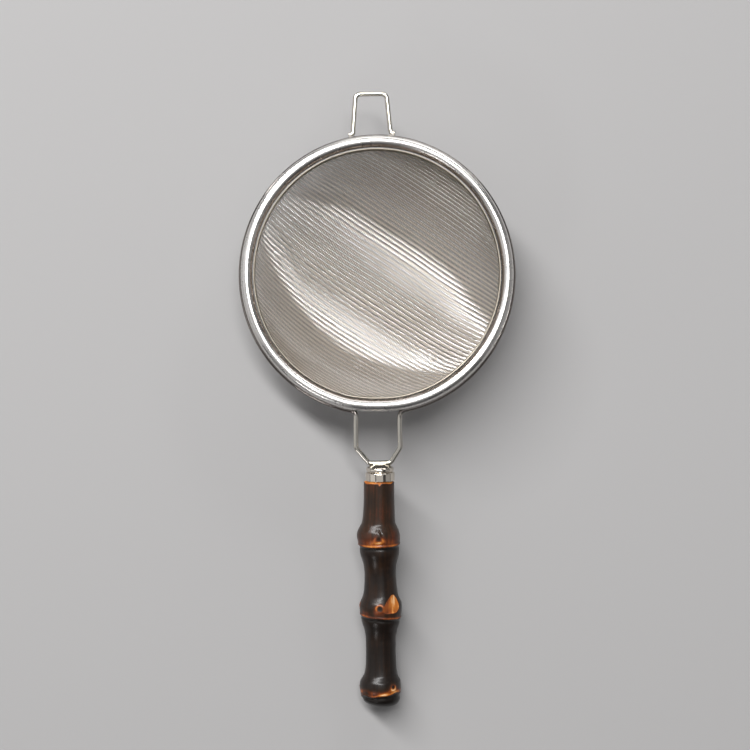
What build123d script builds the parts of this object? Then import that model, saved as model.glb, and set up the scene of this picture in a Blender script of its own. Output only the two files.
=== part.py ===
from build123d import *
from math import asin, cos, degrees, radians, sin, sqrt
import os

# Tea strainer: a woven steel bowl in a rolled rim, on a bent-wire frame with a bamboo-root handle.
# Origin: the lowest point of the bowl, under the rim's centre. +Z is up and the handle runs
# towards -Y. The bowl and the handle's last node both rest on z = 0.

# Bowl (woven mesh, given here as one thin sheet)
MESH_T = 0.36               # two wires thick
BOWL_BOTTOM_R = 54.0        # radius of the gentle bottom arc
BOWL_BOTTOM_ANGLE = 23.0    # slope where the bottom arc meets the side arc
BOWL_SIDE_ANGLE = 66.0      # slope at the top of the side arc
HEM_R = 34.15               # middle of the mesh where its edge stands upright in the rim
HEM_TOP = 19.5

# Rim: a strip rolled to a half-round crown, and the ring that clamps the mesh inside it
RIM_R = 37.5
RIM_INNER_R = 34.38
RIM_T = 0.35
RIM_SPRING_Z = 19.75        # height where the crown's arc starts
RIM_WALL_BOTTOM = 17.72
RIM_LIP_BOTTOM = 18.7
SEAM_WIDTH = 0.08           # butt joint of the rolled strip
SEAM_ANGLE = -92.5          # degrees from +X, between the fork's legs
CLAMP_R = 33.55
CLAMP_T = 0.38
CLAMP_BOTTOM = 17.75
CLAMP_TOP = 19.85
CLAMP_ROUND = 0.17

# Wire frame: a hoop under the rim that turns out into the handle's fork
WIRE_R = 0.68
HOOP_R = 37.57
WIRE_Z = 17.0
LEG_X = 6.02
LEG_SHIFT = -0.4            # the two legs stand a little to one side
LEG_BEND_R = 1.9            # where the hoop turns into a leg
FORK_ROOT_Y = -39.0
DROOP = 8.9                 # degrees that the handle falls below the rim's plane
LEG_END = 8.5               # along the handle's axis from the fork's root
BRIDGE_S = 12.65
BRIDGE_X = 2.95
FORK_CORNER_R = 1.1

# Hook: a second wire
HOOK_TOP_Y = 50.1
HOOK_X = -0.85
HOOK_TOP_HALF = 4.25
HOOK_BASE_HALF = 5.25
HOOK_CORNER_R = 1.55
HOOK_FOOT_R = 0.75
HOOK_FOOT_ANGLE = 1.8       # degrees round the hoop that each foot covers

# Solder: thin fillets between hoop and rim, and blobs where wires meet
SOLDER_GAP = 0.01
SOLDER_WIDTH = 1.15
SOLDER_ARC = 8.0            # degrees
SOLDER_ANGLES = (-106.0, -74.0, 30.0, 150.0)
WELD_ARC = 1.5              # degrees
WELD_OFFSET = 0.9           # degrees outwards from the hook's leg
WELD_WIDTH = 0.75
WELD_HEIGHT = 0.34
WELD_DROP = 0.42            # middle of the bead below the wires' plane

# Ferrule, along the handle's axis
CAP_START = 12.95
CAP_FLAT_R = 1.9
CAP_ROUND = 1.3
CAP_DOME_MIDDLE = (3.3, 13.47)      # radius and place halfway round the dome
CAP_LOWER_ROUND = 0.4
CAP_R = 3.8
CAP_END = 14.8
NECK_R = 3.35
TUBE_START = 15.05
TUBE_END = 17.45
TUBE_R = 4.0
TUBE_T = 0.35
TUBE_ROUND = 0.45

# Handle
HANDLE_START = 17.5
HANDLE_END = 80.3
SPIGOT_START = 16.0
SPIGOT_R = 3.6
BORE_R = 1.25
BORE_END = 45.0
TANG_R = 1.0
TANG_START = 13.8
TANG_END = 43.2
TANG_CHAMFER = 0.4
STEM_TOP_R = 4.15
WAISTS = [(24.0, 4.25), (43.3, 4.33), (63.0, 4.08)]      # place and radius of each slim stretch
NODES = [(32.5, 5.86, 5.5), (52.0, 5.82, 5.5), (74.3, 5.71, 5.3)]        # place, radius, ring radius
FLARE_R = 4.42              # radius where a slim stretch starts to swell
TIP_ROUND = 1.05
TIP_MIDDLE_R = 3.9
NODE_RISE = 3.7             # from the stem's flare to the node's widest point
NODE_RING = 3.0             # from the widest point to the root ring below it
NODE_FALL = 8.5             # from the widest point back to the stem

os.makedirs("parts", exist_ok=True)

# Planes: a vertical half-plane for the round parts, the wire's plane, and the drooping plane
# whose local X is the row's X and whose local Y runs down the handle.
wire_plane = Plane.XY.offset(WIRE_Z)
droop = radians(DROOP)
handle_plane = Plane(
    origin=(0, FORK_ROOT_Y, WIRE_Z),
    x_dir=(1, 0, 0),
    z_dir=(0, sin(droop), -cos(droop)),
)
handle_axis = Axis(handle_plane.origin, (0, -cos(droop), -sin(droop)))
corner_share = 1 - cos(radians(45))     # how far in a round corner's middle lies, per unit of radius


def on_circle(radius, angle):
    """Point at an angle in degrees on a circle about the origin."""
    return (radius * cos(radians(angle)), radius * sin(radians(angle)))


# Mesh bowl: bottom arc, side arc and an upright hem that the rim clamps
slope_a = radians(BOWL_BOTTOM_ANGLE)
slope_b = radians(BOWL_SIDE_ANGLE)
meet_r = BOWL_BOTTOM_R * sin(slope_a)
meet_z = BOWL_BOTTOM_R * (1 - cos(slope_a))
side_r = (HEM_R - meet_r) / (sin(slope_b) - sin(slope_a))

with BuildPart() as mesh_bowl:
    with BuildSketch(Plane.XZ):
        with BuildLine() as bowl_line:
            bottom_centre = (0, BOWL_BOTTOM_R + MESH_T / 2)
            CenterArc(bottom_centre, BOWL_BOTTOM_R, -90, BOWL_BOTTOM_ANGLE)
            side_centre = (
                meet_r - side_r * sin(slope_a),
                meet_z + MESH_T / 2 + side_r * cos(slope_a),
            )
            side = CenterArc(
                side_centre, side_r, BOWL_BOTTOM_ANGLE - 90, BOWL_SIDE_ANGLE - BOWL_BOTTOM_ANGLE
            )
            Line(side @ 1, (HEM_R, HEM_TOP))
        trace(bowl_line.line, line_width=MESH_T)
        split(bisect_by=Plane.YZ, keep=Keep.TOP)
    revolve(axis=Axis.Z)
mesh_bowl.part.label = "mesh_bowl"
export_step(mesh_bowl.part, "parts/mesh_bowl.step")

# Rim band: an upside-down U that hides the mesh's edge, with the strip's butt seam
crown_r = (RIM_R - RIM_INNER_R - RIM_T) / 2
crown_x = RIM_INNER_R + RIM_T / 2 + crown_r
seam_cut = 4 * (RIM_R - RIM_INNER_R)    # length and height of the cut, well past the strip's section

with BuildPart() as rim_band:
    with BuildSketch(Plane.XZ):
        with BuildLine() as rim_line:
            Line((crown_x + crown_r, RIM_WALL_BOTTOM), (crown_x + crown_r, RIM_SPRING_Z))
            crown = CenterArc((crown_x, RIM_SPRING_Z), crown_r, 0, 180)
            Line(crown @ 1, (crown_x - crown_r, RIM_LIP_BOTTOM))
        trace(rim_line.line, line_width=RIM_T)
    revolve(axis=Axis.Z)
    with Locations(Location((0, 0, 0), (0, 0, SEAM_ANGLE))):
        with Locations((RIM_R, 0, RIM_SPRING_Z)):
            Box(seam_cut, SEAM_WIDTH, seam_cut, mode=Mode.SUBTRACT)
rim_band.part.label = "rim_band"
export_step(rim_band.part, "parts/rim_band.step")

# Clamp ring: the thin inner ring whose round lip shows inside the rim
with BuildPart() as clamp_ring:
    with BuildSketch(Plane.XZ):
        with Locations((CLAMP_R + CLAMP_T / 2, (CLAMP_BOTTOM + CLAMP_TOP) / 2)):
            Rectangle(CLAMP_T, CLAMP_TOP - CLAMP_BOTTOM)
    revolve(axis=Axis.Z)
    top_edges = clamp_ring.edges().group_by(Axis.Z)[-1]
    fillet(top_edges, CLAMP_ROUND)
clamp_ring.part.label = "clamp_ring"
export_step(clamp_ring.part, "parts/clamp_ring.step")


def leg_corner(x_leg, side_sign):
    """Fillet between the hoop and a leg that runs towards -Y: its centre and its two ends."""
    centre_x = x_leg + side_sign * LEG_BEND_R
    reach = HOOP_R + LEG_BEND_R
    centre_y = -sqrt(reach * reach - centre_x * centre_x)
    scale = HOOP_R / reach
    return (centre_x, centre_y), (centre_x * scale, centre_y * scale)


# Frame wire: the hoop with a stub at each leg, then the fork in the drooping plane
left_x = LEG_SHIFT - LEG_X
right_x = LEG_SHIFT + LEG_X
left_centre, left_tangent = leg_corner(left_x, -1)
right_centre, right_tangent = leg_corner(right_x, 1)

with BuildPart() as frame_wire:
    with BuildLine(wire_plane) as hoop_path:
        left_stub = Line((left_x, FORK_ROOT_Y), (left_x, left_centre[1]))
        left_bend = TangentArc(left_stub @ 1, left_tangent, tangent=left_stub % 1)
        hoop = ThreePointArc(left_tangent, (0, HOOP_R), right_tangent)
        right_stub = Line((right_x, FORK_ROOT_Y), (right_x, right_centre[1]))
        TangentArc(right_stub @ 1, right_tangent, tangent=right_stub % 1)
    with BuildSketch(Plane(origin=(left_x, FORK_ROOT_Y, WIRE_Z), z_dir=(0, 1, 0))):
        Circle(WIRE_R)
    sweep(path=hoop_path.line)
    with BuildLine(handle_plane) as fork_path:
        FilletPolyline(
            (left_x, 0),
            (left_x, LEG_END),
            (-BRIDGE_X, BRIDGE_S),
            (BRIDGE_X, BRIDGE_S),
            (right_x, LEG_END),
            (right_x, 0),
            radius=FORK_CORNER_R,
        )
    with BuildSketch(Plane(origin=(left_x, FORK_ROOT_Y, WIRE_Z), z_dir=handle_axis.direction)):
        Circle(WIRE_R)
    sweep(path=fork_path.line)
    with Locations((left_x, FORK_ROOT_Y, WIRE_Z), (right_x, FORK_ROOT_Y, WIRE_Z)):
        Sphere(WIRE_R)
frame_wire.part.label = "frame_wire"
export_step(frame_wire.part, "parts/frame_wire.step")

# Hook wire: a flared loop whose feet lie along the outside of the hoop
foot_r = HOOP_R + 2 * WIRE_R + SOLDER_GAP


def hook_side(sign):
    """Top corner, base corner and foot end of one side of the hook."""
    base_x = HOOK_X + sign * HOOK_BASE_HALF
    base_angle = degrees(asin(base_x / foot_r))
    foot_angle = 90 - base_angle - sign * HOOK_FOOT_ANGLE
    top = (HOOK_X + sign * HOOK_TOP_HALF, HOOK_TOP_Y)
    base = (base_x, sqrt(foot_r * foot_r - base_x * base_x))
    return top, base, on_circle(foot_r, foot_angle)


left_top, left_base, left_foot = hook_side(-1)
right_top, right_base, right_foot = hook_side(1)

with BuildPart() as hook_wire:
    with BuildLine(wire_plane) as hook_path:
        FilletPolyline(
            left_foot,
            left_base,
            left_top,
            right_top,
            right_base,
            right_foot,
            radius=[HOOK_FOOT_R, HOOK_CORNER_R, HOOK_CORNER_R, HOOK_FOOT_R],
        )
    foot_direction = Vector(*left_base) - Vector(*left_foot)
    with BuildSketch(Plane(origin=(*left_foot, WIRE_Z), z_dir=foot_direction)):
        Circle(WIRE_R)
    sweep(path=hook_path.line)
hook_wire.part.label = "hook_wire"
export_step(hook_wire.part, "parts/hook_wire.step")


# Solder: short runs in the corner between the rim's lower edge and the hoop
with BuildPart() as rim_solder:
    for run_angle in SOLDER_ANGLES:
        with BuildSketch(Plane.XZ.rotated((0, 0, run_angle - SOLDER_ARC / 2))):
            with BuildLine():
                Polyline(
                    (HOOP_R - SOLDER_WIDTH, RIM_WALL_BOTTOM),
                    (HOOP_R, RIM_WALL_BOTTOM),
                    (HOOP_R - WIRE_R, WIRE_Z),
                    close=True,
                )
            make_face()
        revolve(axis=Axis.Z, revolution_arc=SOLDER_ARC)
    with BuildSketch(Plane.XZ):
        with Locations((HOOP_R, WIRE_Z)):
            Circle(WIRE_R + SOLDER_GAP)
    revolve(axis=Axis.Z, mode=Mode.SUBTRACT)
rim_solder.part.label = "rim_solder"
export_step(rim_solder.part, "parts/rim_solder.step")

# Hook welds: a small flat bead under each foot, between it and the hoop
with BuildPart() as hook_welds:
    for side in (-1, 1):
        base_angle = degrees(asin((HOOK_X + side * HOOK_BASE_HALF) / foot_r))
        bead_angle = 90 - base_angle - side * WELD_OFFSET
        with BuildSketch(Plane.XZ.rotated((0, 0, bead_angle - WELD_ARC / 2))):
            with Locations((HOOP_R + WIRE_R, WIRE_Z - WELD_DROP)):
                Rectangle(WELD_WIDTH, WELD_HEIGHT)
        revolve(axis=Axis.Z, revolution_arc=WELD_ARC)
    for ring_r in (HOOP_R, foot_r):
        with BuildSketch(Plane.XZ):
            with Locations((ring_r, WIRE_Z)):
                Circle(WIRE_R + SOLDER_GAP)
        revolve(axis=Axis.Z, mode=Mode.SUBTRACT)
hook_welds.part.label = "hook_welds"
export_step(hook_welds.part, "parts/hook_welds.step")

# Ferrule cap: a domed bead with a saddle for the wire's bridge and a socket for the tang
with BuildPart() as ferrule_cap:
    with BuildSketch(handle_plane):
        with BuildLine():
            Line((0, CAP_START), (CAP_FLAT_R, CAP_START))
            dome = ThreePointArc(
                (CAP_FLAT_R, CAP_START),
                CAP_DOME_MIDDLE,
                (CAP_R, CAP_START + CAP_ROUND),
            )
            waist = Line(dome @ 1, (CAP_R, CAP_END - CAP_LOWER_ROUND))
            lower_in = corner_share * CAP_LOWER_ROUND
            under = ThreePointArc(waist @ 1, (CAP_R - lower_in, CAP_END - lower_in), (NECK_R, CAP_END))
            Polyline(under @ 1, (0, CAP_END), (0, CAP_START))
        make_face()
    revolve(axis=handle_axis)
    with BuildSketch(handle_plane):
        with Locations((TANG_R / 2, (TANG_START + CAP_END) / 2)):
            Rectangle(TANG_R, CAP_END - TANG_START)
    revolve(axis=handle_axis, mode=Mode.SUBTRACT)
    add(frame_wire.part, mode=Mode.SUBTRACT)
ferrule_cap.part.label = "ferrule_cap"
export_step(ferrule_cap.part, "parts/ferrule_cap.step")

# Ferrule tube: a drawn cup, closed at the top but for the tang's hole
with BuildPart() as ferrule_tube:
    with BuildSketch(handle_plane):
        with BuildLine():
            Polyline((TANG_R, CAP_END), (NECK_R, CAP_END), (NECK_R, TUBE_START))
            round_in = corner_share * TUBE_ROUND
            ThreePointArc(
                (NECK_R, TUBE_START),
                (TUBE_R - round_in, TUBE_START + round_in),
                (TUBE_R, TUBE_START + TUBE_ROUND),
            )
            Polyline(
                (TUBE_R, TUBE_START + TUBE_ROUND),
                (TUBE_R, TUBE_END),
                (TUBE_R - TUBE_T, TUBE_END),
                (TUBE_R - TUBE_T, TUBE_START + TUBE_T),
                (TANG_R, TUBE_START + TUBE_T),
                (TANG_R, CAP_END),
            )
        make_face()
    revolve(axis=handle_axis)
ferrule_tube.part.label = "ferrule_tube"
export_step(ferrule_tube.part, "parts/ferrule_tube.step")

# Tang: a rod from the cap into the handle
with BuildPart() as tang_rod:
    with BuildSketch(handle_plane):
        with Locations((TANG_R / 2, (TANG_START + TANG_END) / 2)):
            Rectangle(TANG_R, TANG_END - TANG_START)
    revolve(axis=handle_axis)
    chamfer(tang_rod.edges().filter_by(GeomType.CIRCLE).sort_by(Axis.Y)[0], TANG_CHAMFER)
tang_rod.part.label = "tang_rod"
export_step(tang_rod.part, "parts/tang_rod.step")

# Glue: fills the handle's bore round the tang
with BuildPart() as tang_glue:
    with BuildSketch(handle_plane):
        with Locations((BORE_R / 2, (SPIGOT_START + BORE_END) / 2)):
            Rectangle(BORE_R, BORE_END - SPIGOT_START)
    revolve(axis=handle_axis)
    add(tang_rod.part, mode=Mode.SUBTRACT)
tang_glue.part.label = "tang_glue"
export_step(tang_glue.part, "parts/tang_glue.step")

# Handle: a length of bamboo root with three swollen nodes, turned down to a spigot at the top
outline = [(STEM_TOP_R, HANDLE_START)]
for (waist_place, waist_r), (node_place, node_r, ring_r) in zip(WAISTS, NODES):
    outline.append((waist_r, waist_place))
    outline.append((FLARE_R, node_place - NODE_RISE))
    outline.append((node_r, node_place))
    outline.append((ring_r, node_place + NODE_RING))
    outline.append((FLARE_R, node_place + NODE_FALL))
outline.pop()
root_ring = outline[-1]

with BuildPart() as handle:
    with BuildSketch(handle_plane):
        with BuildLine():
            Polyline(
                root_ring,
                (0, root_ring[1]),
                (0, SPIGOT_START),
                (SPIGOT_R, SPIGOT_START),
                (SPIGOT_R, HANDLE_START),
                outline[0],
            )
            Spline(outline)
        make_face()
    revolve(axis=handle_axis)
    with BuildSketch(handle_plane):
        with BuildLine():
            tip = ThreePointArc(
                root_ring,
                (TIP_MIDDLE_R, HANDLE_END - TIP_ROUND),
                (0, HANDLE_END),
            )
            Polyline(tip @ 1, (0, root_ring[1]), root_ring)
        make_face()
    revolve(axis=handle_axis)
    with BuildSketch(handle_plane):
        with Locations((BORE_R / 2, (SPIGOT_START + BORE_END) / 2)):
            Rectangle(BORE_R, BORE_END - SPIGOT_START)
    revolve(axis=handle_axis, mode=Mode.SUBTRACT)
handle.part.label = "handle"
export_step(handle.part, "parts/handle.step")
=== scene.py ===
from math import asin, atan2, cos, pi, radians, sin, sqrt

import bpy
import numpy as np
from mathutils import Matrix, Vector


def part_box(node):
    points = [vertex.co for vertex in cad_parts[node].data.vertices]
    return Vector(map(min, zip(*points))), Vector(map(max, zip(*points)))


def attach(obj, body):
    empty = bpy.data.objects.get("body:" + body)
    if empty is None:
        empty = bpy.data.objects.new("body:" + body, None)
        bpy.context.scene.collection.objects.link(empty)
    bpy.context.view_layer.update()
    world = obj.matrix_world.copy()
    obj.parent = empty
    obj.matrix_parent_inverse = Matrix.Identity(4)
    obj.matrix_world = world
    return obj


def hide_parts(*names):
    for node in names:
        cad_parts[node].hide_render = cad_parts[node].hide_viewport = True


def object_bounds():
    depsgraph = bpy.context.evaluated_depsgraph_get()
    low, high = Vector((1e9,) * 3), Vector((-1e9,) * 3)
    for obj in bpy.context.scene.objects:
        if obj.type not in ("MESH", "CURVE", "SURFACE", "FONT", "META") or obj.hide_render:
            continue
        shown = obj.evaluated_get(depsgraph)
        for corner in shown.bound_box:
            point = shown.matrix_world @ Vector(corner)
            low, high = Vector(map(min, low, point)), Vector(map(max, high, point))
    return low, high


# Tea strainer: woven steel bowl, rolled rim, wire frame and hook, nickel ferrule, bamboo-root handle.
# Lengths are in millimetres until a mesh is made. The frame is the CAD model's: +Z up, the handle
# towards -Y, the lowest point of the bowl at the origin.

MM = 0.001

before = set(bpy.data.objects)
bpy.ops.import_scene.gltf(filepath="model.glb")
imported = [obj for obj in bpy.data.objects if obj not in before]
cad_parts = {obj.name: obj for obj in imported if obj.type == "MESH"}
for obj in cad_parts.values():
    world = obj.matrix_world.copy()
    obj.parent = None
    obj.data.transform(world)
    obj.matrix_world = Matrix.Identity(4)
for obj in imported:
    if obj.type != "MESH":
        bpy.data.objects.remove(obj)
cad_box = [list(corner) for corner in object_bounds()]


def span(node):
    """Lowest and highest corner of a CAD node, in millimetres."""
    low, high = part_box(node)
    return np.array(low) / MM, np.array(high) / MM


# Sizes from the frame
rim_low, rim_high = span("rim_band")
clamp_low, clamp_high = span("clamp_ring")
hook_low, hook_high = span("hook_wire")
wire_high = span("frame_wire")[1]
RIM_R = rim_high[0]
RIM_TOP = rim_high[2]
RIM_FOOT = rim_low[2]
CLAMP_OUTER_R = clamp_high[0]
CLAMP_TOP = clamp_high[2]
CLAMP_FOOT = clamp_low[2]
WIRE_R = (hook_high[2] - hook_low[2]) / 2
WIRE_Z = (hook_high[2] + hook_low[2]) / 2
HOOP_R = wire_high[1] - WIRE_R
HOOK_TOP_Y = hook_high[1] - WIRE_R

# Rim and clamp ring
RIM_WIDTH = 3.12
RIM_T = 0.35
RIM_LIP_FOOT = 18.7
RIM_STEP = 0.22
RIM_SECTIONS = 420
CROWN_STEP = 0.1
SEAM_ANGLE = radians(-92.5)
SEAM_WIDTH = 0.03
# Painted shade: the rim's colour darkens down the inner side of the crown, into the groove.
PAINTED_SHADE_START = 0.45           # where the rim's darker inner side sets in, in crown radii inwards
PAINTED_SHADE_FULL = 0.95
CLAMP_T = 0.38
CLAMP_STEP = 0.4
CLAMP_SECTIONS = 360
LIP_SEAM_ANGLE = radians(-86.4)
LIP_FLARE = 0.2             # how far the clamp ring's top edge is spread over the hem
LIP_FLARE_START = 0.45      # and how far below its top the spreading starts and ends
LIP_FLARE_END = 0.05
EDGE_START = 0.02           # share of the rounding that a strip's end keeps, so it is not a line
EDGE_ROWS = 5
FINEST_STEP = 0.02

# Bowl: bottom arc, side arc and upright hem of the mesh's middle surface
BOTTOM_R = 54.0
SLOPE_A = radians(23)
SLOPE_B = radians(66)
HEM_R = 34.15
HEM_BEND_R = 1.0
HEM_COVERED = 0.4           # how far the mesh runs up between the rim and the clamp ring
MESH_RISE = 0.27            # middle surface of the mesh above its lowest point
SAG = 0.1                   # unevenness of the pressed bowl
SAG_LENGTH = 26
SAG_CENTRE = 12             # it sets in over this distance from the bowl's middle
SAG_EDGE = (4, 12)          # and ends between these distances from the mesh's edge
PRESSED = 0.5               # how much flatter the weave is at the mesh's edge
PRESSED_EDGE = (2.5, 1)     # and between which distances from the edge that sets in

# How far the rim is out of round: longer along the handle, flatter between the fork's legs
OVAL = 0.0085
RING_SHIFT = 0.07           # the rim sits a little to one side of the fork
NORTH_STRETCH = 0.2         # and is drawn out towards the hook
FLAT_DEPTH = 0.22
FLAT_ARC = radians(9)
BULGE = 0.1
BULGE_ANGLE = radians(-104)
BULGE_ARC = radians(3.5)
FORK_FADE = 9               # the oval and the flat end over this length past the fork's root
RING_START = (HEM_R - 3, HEM_R + 1)     # distances from the middle over which the shifts set in
RING_END = (RIM_R + 1, RIM_R + 4)       # and over which they end again, out along the hook

# Weave: thick straight ribs a long way apart, and flat fine wires across them, close together
RIB_ANGLE = radians(-34)
RIB_PITCH = 1.24
RIB_R = 0.11
RIB_WAVE = 0.12
RIB_STEP = 0.125            # two samples to each fine wire
RIB_SIDES = 4
RIB_MARGIN = 0.4
RIB_JITTER = 0.02
RIB_DRIFT = 0.22            # how far the ribs wander sideways
RIB_DRIFT_LENGTH = 34
# Painted shade: the ribs, under the fine wires, are coloured darker than the wires' tops.
RIB_SHADED_BRIGHTNESS = 0.6
RIB_PIECES = 2
FINE_PITCH = 0.25
FINE_R = 0.118
FINE_WAVE = 0.118
FINE_STEP = 0.248           # five samples to each rib spacing
FINE_SIDES = 4
FINE_FLATNESS = 0.72        # the fine wires are rolled flat: height against width
FINE_MARGIN = 0.6
FINE_JITTER = 0.012
FINE_PIECES = 5
GAP_PLACE = 0.2             # the painted shadow line beside each rib, in rib spacings from it
GAP_WIDTH = 0.2

# Fork and handle line, in the drooping plane
LEG_X = 6.02
LEG_SHIFT = -0.4
LEG_BEND_R = 1.9
FORK_ROOT_Y = -39.0
DROOP = radians(8.9)
LEG_END = 8.5
BRIDGE_S = 12.65
BRIDGE_X = 2.95
FORK_CORNER_R = 1.1
FORK_JOIN = 0.3             # gap on both sides of the fork's root, which the bend there fills
FORK_STEP = 0.3
BEND_STEP = 0.35
HOOP_STEP = 0.75
WIRE_SIDES = 20
PAINTED_SHADE_END = 1.2              # the hoop's painted shade ends over this length at the fork's root
# Hook
HOOK_X = -0.85
HOOK_TOP_HALF = 4.25
HOOK_BASE_HALF = 5.25
HOOK_CORNER_R = 1.55
HOOK_FOOT_R = 0.75
HOOK_FOOT_ANGLE = radians(1.8)
HOOK_STEP = 0.25

# Solder between hoop and rim, and the welds at the hook's feet
SOLDER_GAP = 0.01
SOLDER_ARC = radians(8)
SOLDER_ANGLES = (-106.0, -74.0, 30.0, 150.0)
SOLDER_INSET = 0.2
SOLDER_DROP = 0.02
SOLDER_R = 0.26
WELD_LENGTH = 1.2
WELD_LIFT = 0.4
WELD_R = 0.15
WELD_SEED = 5
BEAD_SIDES = 10
BEAD_ROWS = 25

# Ferrule, along the handle's axis
CAP_START = 12.95
CAP_FLAT_R = 1.7
CAP_R = 3.8
CAP_SHOULDER = 13.75
CAP_END = 14.8
NECK_R = 3.35
TUBE_START = 15.05
TUBE_END = 17.45
TUBE_R = 4.0
TUBE_T = 0.35
OVERLAP = 0.02              # how far cap and tube run into each other at the neck
NECK_WALL = 0.5
TURNED_STEP = 0.09
TURNED_SIDES = 96
THINNEST_TURNED = 0.02

# Handle: radius and sideways drift of the middle at places along the axis from the fork's root
HANDLE_START = 17.5
HANDLE_END = 80.3
TIP_LENGTH = 3.0
HANDLE_ROWS = 400
HANDLE_COLUMNS = 200
TIP_ROWS = 30
TIP_TURN = radians(88)
OUTLINE = (
    (17.5, 4.15), (22.5, 4.22), (26.7, 4.35), (28.9, 4.56), (30.2, 5.12), (31.4, 5.68), (32.5, 5.86),
    (34.2, 5.72), (35.6, 5.5), (37.5, 5.33), (39.2, 4.87), (41.0, 4.48), (43.3, 4.33), (46.7, 4.49),
    (48.9, 4.8), (50.2, 5.28), (51.2, 5.7), (52.0, 5.82), (53.6, 5.7), (55.0, 5.52), (56.7, 5.14),
    (59.2, 4.4), (61.5, 4.12), (64.2, 4.08), (68.4, 4.23), (70.9, 4.56), (72.0, 5.05), (73.0, 5.55),
    (74.3, 5.71), (76.0, 5.56), (77.3, 5.3),
)
DRIFT = (
    (17.5, -0.3), (27.0, -0.5), (32.0, -0.76), (36.0, -0.5), (43.0, -0.37), (54.0, -0.35),
    (62.0, -0.52), (70.0, -0.66), (73.5, -0.82), (77.5, -0.66), (80.3, 0.15),
)

# Sheath scars round the nodes: place, tilt, wander, height of the ridge
RINGS = ((34.9, 0.0, 0.08, 0.17), (54.65, 0.48, 0.1, 0.17), (76.1, -0.3, 0.34, 0.12))

# Root scars: place, degrees round from the top towards +X, radius
SCARS = (
    (51.9, -3, 0.95), (33.0, 96, 0.6), (33.3, -118, 0.7), (51.6, -84, 0.6), (52.3, 150, 0.8),
    (74.0, 39, 0.75), (74.6, -100, 0.7), (74.2, 128, 0.6),
)
# Buds: place, degrees round, half width, length. Pared cuts: place, degrees round, depth, length
BUDS = ((32.3, 1, 1.95, 3.5), (52.2, 186, 1.7, 3.1), (74.2, 176, 1.5, 2.6))
CUTS = ((50.9, 37, 0.56, 2.5), (33.0, -160, 0.3, 1.6))

# How warm and light the handle's colour is, from 0 (black) to 1 (bare wood), with painted shade in the
# ring creases and painted shade and highlight on the pared cuts
BARK_WARMTH = 0.29
DARKER_PAST = ((33, 37, 0.12), (53, 57, 0.05))
CUT_WARMTH = 0.76
SAWN_WARMTH = 0.76
SOCKET_WARMTH = 0.8
RUBBED_PLACE = 75.3
TIP_DARK = (76.4, 77.4)

# How many waves make up a random field
WAVE_COUNT = 10
LUMP_COUNT = 12

UP = np.array((0.0, 0.0, 1.0))
handle_root = np.array((0.0, FORK_ROOT_Y, WIRE_Z))
handle_down = np.array((0.0, -cos(DROOP), -sin(DROOP)))
handle_up = np.array((0.0, -sin(DROOP), cos(DROOP)))
across = np.array((1.0, 0.0, 0.0))


# ---------------------------------------------------------------- mesh tools

def mesh_object(name, points, faces):
    """A smooth mesh from points in millimetres and arrays of corner numbers, one array per face size."""
    mesh = bpy.data.meshes.new(name)
    corners = np.concatenate([part.ravel() for part in faces]).astype(np.int32)
    sizes = np.concatenate([np.full(len(part), part.shape[1]) for part in faces])
    starts = np.concatenate(([0], np.cumsum(sizes)[:-1])).astype(np.int32)
    mesh.vertices.add(len(points))
    mesh.vertices.foreach_set("co", (np.asarray(points) * MM).astype(np.float32).ravel())
    mesh.loops.add(len(corners))
    mesh.loops.foreach_set("vertex_index", corners)
    mesh.polygons.add(len(sizes))
    mesh.polygons.foreach_set("loop_start", starts)
    mesh.polygons.foreach_set("use_smooth", np.ones(len(sizes), bool))
    mesh.update(calc_edges=True)
    mesh.validate()
    made = bpy.data.objects.new(name, mesh)
    bpy.context.scene.collection.objects.link(made)
    return made


def grid_faces(rows, columns, close_rows=False):
    """Quads of a grid of points, numbered row by row, its last column joined to its first."""
    row = np.arange(rows if close_rows else rows - 1)[:, None]
    column = np.arange(columns)[None, :]
    next_row = (row + 1) % rows
    next_column = (column + 1) % columns
    corners = (
        row * columns + column,
        row * columns + next_column,
        next_row * columns + next_column,
        next_row * columns + column,
    )
    shape = (len(row), columns)
    return np.stack([np.broadcast_to(corner, shape) for corner in corners], -1).reshape(-1, 4)


def capped(points, faces, sides, start, end):
    """Adds a fan at each end of a tube of points, with a point of its own in the middle."""
    first = np.arange(sides)
    last = len(points) - sides + first
    points = np.concatenate((points, [start], [end]))
    start_cap = np.stack((np.roll(first, -1), first, np.full(sides, len(points) - 2)), -1)
    end_cap = np.stack((last, np.roll(last, -1), np.full(sides, len(points) - 1)), -1)
    return points, [*faces, np.concatenate((start_cap, end_cap))]


def unit(vectors):
    return vectors / np.linalg.norm(vectors, axis=-1, keepdims=True)


def tube(path, radius, sides, up, closed=False, flatness=1.0):
    """Points and faces of a wire along a path. up is a direction that the path never takes.

    flatness is the wire's height against its width."""
    path = np.asarray(path, float)
    if closed:
        along = np.roll(path, -1, axis=0) - np.roll(path, 1, axis=0)
    else:
        along = np.gradient(path, axis=0)
    along = unit(along)
    side = unit(np.cross(along, up))
    top = np.cross(side, along)
    turn = np.linspace(0, 2 * pi, sides, endpoint=False)
    radius = np.broadcast_to(radius, len(path))[:, None, None]
    sideways = side[:, None] * np.cos(turn)[None, :, None]
    upwards = flatness * top[:, None] * np.sin(turn)[None, :, None]
    points = (path[:, None] + radius * (sideways + upwards)).reshape(-1, 3)
    faces = [grid_faces(len(path), sides, close_rows=closed)]
    if closed:
        return points, faces
    return capped(points, faces, sides, path[0], path[-1])


def joined(name, parts):
    """One mesh object from several (points, faces) parts."""
    points = []
    faces = []
    count = 0
    for part_points, part_faces in parts:
        points.append(part_points)
        faces.extend(part + count for part in part_faces)
        count += len(part_points)
    return mesh_object(name, np.concatenate(points), faces)


def set_mask(piece, name, values):
    """Stores one number at each point of a piece, for its material to read."""
    mask = piece.data.attributes.new(name, "FLOAT", "POINT")
    mask.data.foreach_set("value", np.asarray(values, np.float32).ravel())


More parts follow.
